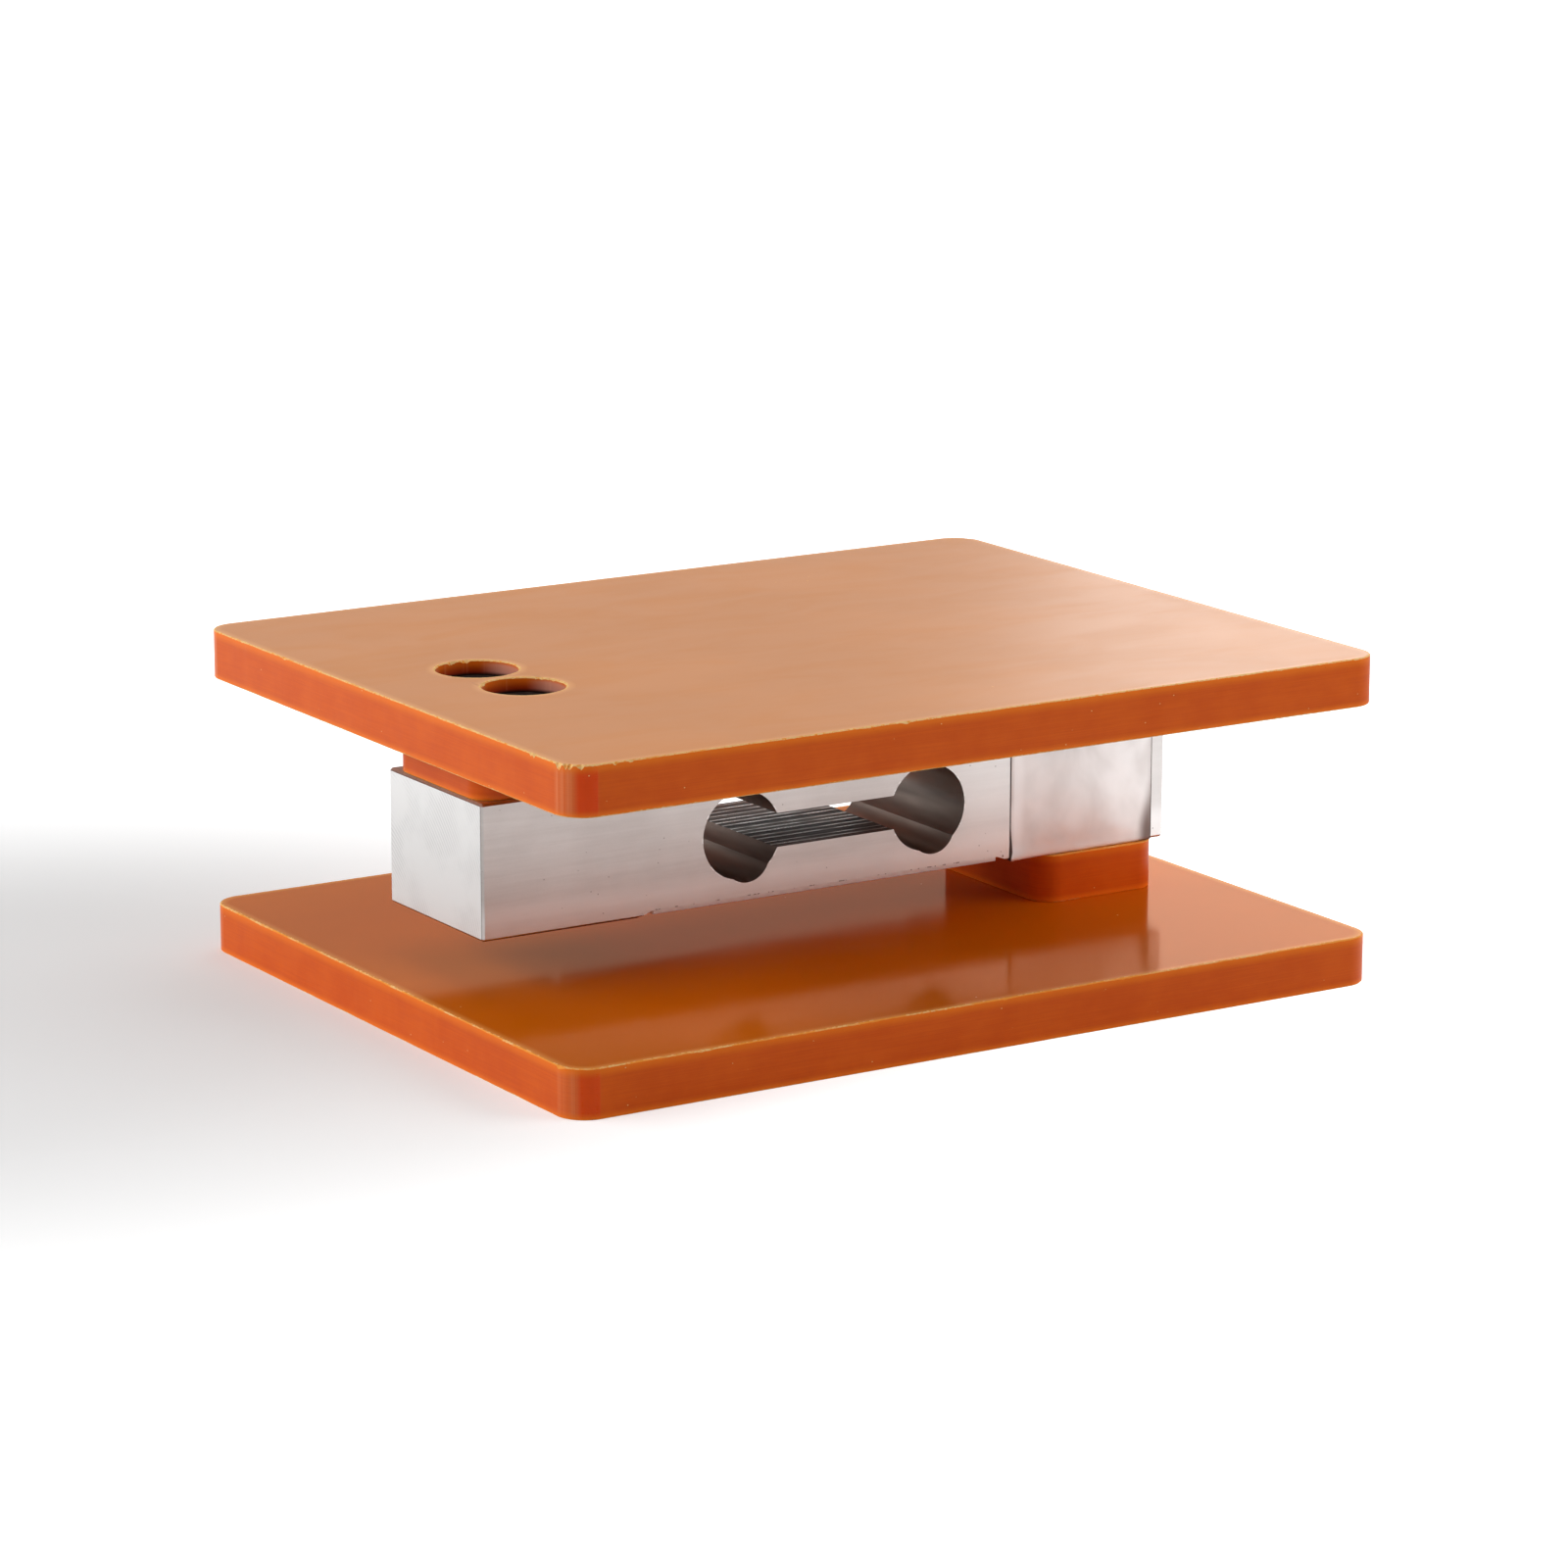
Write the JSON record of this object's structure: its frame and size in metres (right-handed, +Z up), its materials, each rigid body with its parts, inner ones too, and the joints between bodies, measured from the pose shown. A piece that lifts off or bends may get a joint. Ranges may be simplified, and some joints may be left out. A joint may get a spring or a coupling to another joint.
{
  "type": "beam load cell",
  "caption": "Single-point beam load cell with a dog-bone cut-out, clamped on spacer blocks between a base plate and a load plate of orange laminate, for weighing what stands on it.",
  "frame": {"origin": "centre of the base plate's underside", "axes": "+X along the beam from its load end to its fixed end, +Y to the rear, +Z up"},
  "size_m": [0.15, 0.12, 0.0542],
  "materials": {
    "phenolic_laminate": "satin orange laminate with machined edges",
    "milled_aluminium": "fine matte, end faces milled bright",
    "black_steel": "black oxide",
    "wrap_foil": "satin foil",
    "gauge_film": "amber film with metal foil",
    "lead_enamel": "enamelled copper",
    "gauge_coat": "soft pale sealing coat",
    "board_laminate": "green solder mask",
    "resistor_ceramic": "dark glazed chip with tinned ends",
    "potting_compound": "dark elastic fill"
  },
  "bodies": {
    "root": {"top_plate": "phenolic_laminate", "base_plate": "phenolic_laminate", "top_spacer": "phenolic_laminate", "base_spacer": "phenolic_laminate", "beam_body": "milled_aluminium", "top_screws": "black_steel", "base_screws": "black_steel", "end_wrap": "wrap_foil", "upper_gauge_load_side": "gauge_film", "upper_gauge_fixed_side": "gauge_film", "lower_gauge_load_side": "gauge_film", "lower_gauge_fixed_side": "gauge_film", "upper_gauge_leads": "lead_enamel", "lower_gauge_leads": "lead_enamel", "upper_gauge_cover": "gauge_coat", "lower_gauge_cover": "gauge_coat", "terminal_board": "board_laminate", "board_resistors": "resistor_ceramic", "pocket_potting": "potting_compound"}
  },
  "joints": []
}
